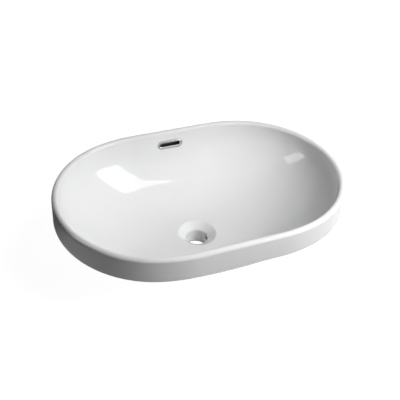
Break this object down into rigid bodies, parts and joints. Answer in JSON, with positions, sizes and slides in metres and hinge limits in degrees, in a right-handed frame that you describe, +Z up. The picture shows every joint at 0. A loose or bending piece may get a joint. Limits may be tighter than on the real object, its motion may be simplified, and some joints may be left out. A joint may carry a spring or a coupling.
{
  "type": "inset oval basin",
  "caption": "White glazed ceramic oval basin that stands on the worktop by a low band, with a chrome overflow ring and an open outlet.",
  "frame": {"origin": "level with the underside of the outlet tube, straight below the middle of the rim", "axes": "+X along the basin's length, +Y towards the back, where the overflow is, +Z up out of the bowl"},
  "size_m": [0.5998, 0.4, 0.188],
  "materials": {
    "glazed_ceramic": "smooth gloss white glaze",
    "bare_ceramic": "unglazed fired clay, matt",
    "chrome": "polished chrome",
    "soft_plastic": "soft translucent white plastic"
  },
  "bodies": {
    "root": {"basin_body": "glazed_ceramic", "overflow_channel": "bare_ceramic", "overflow_ring": "chrome", "overflow_sleeve": "soft_plastic"}
  },
  "joints": []
}
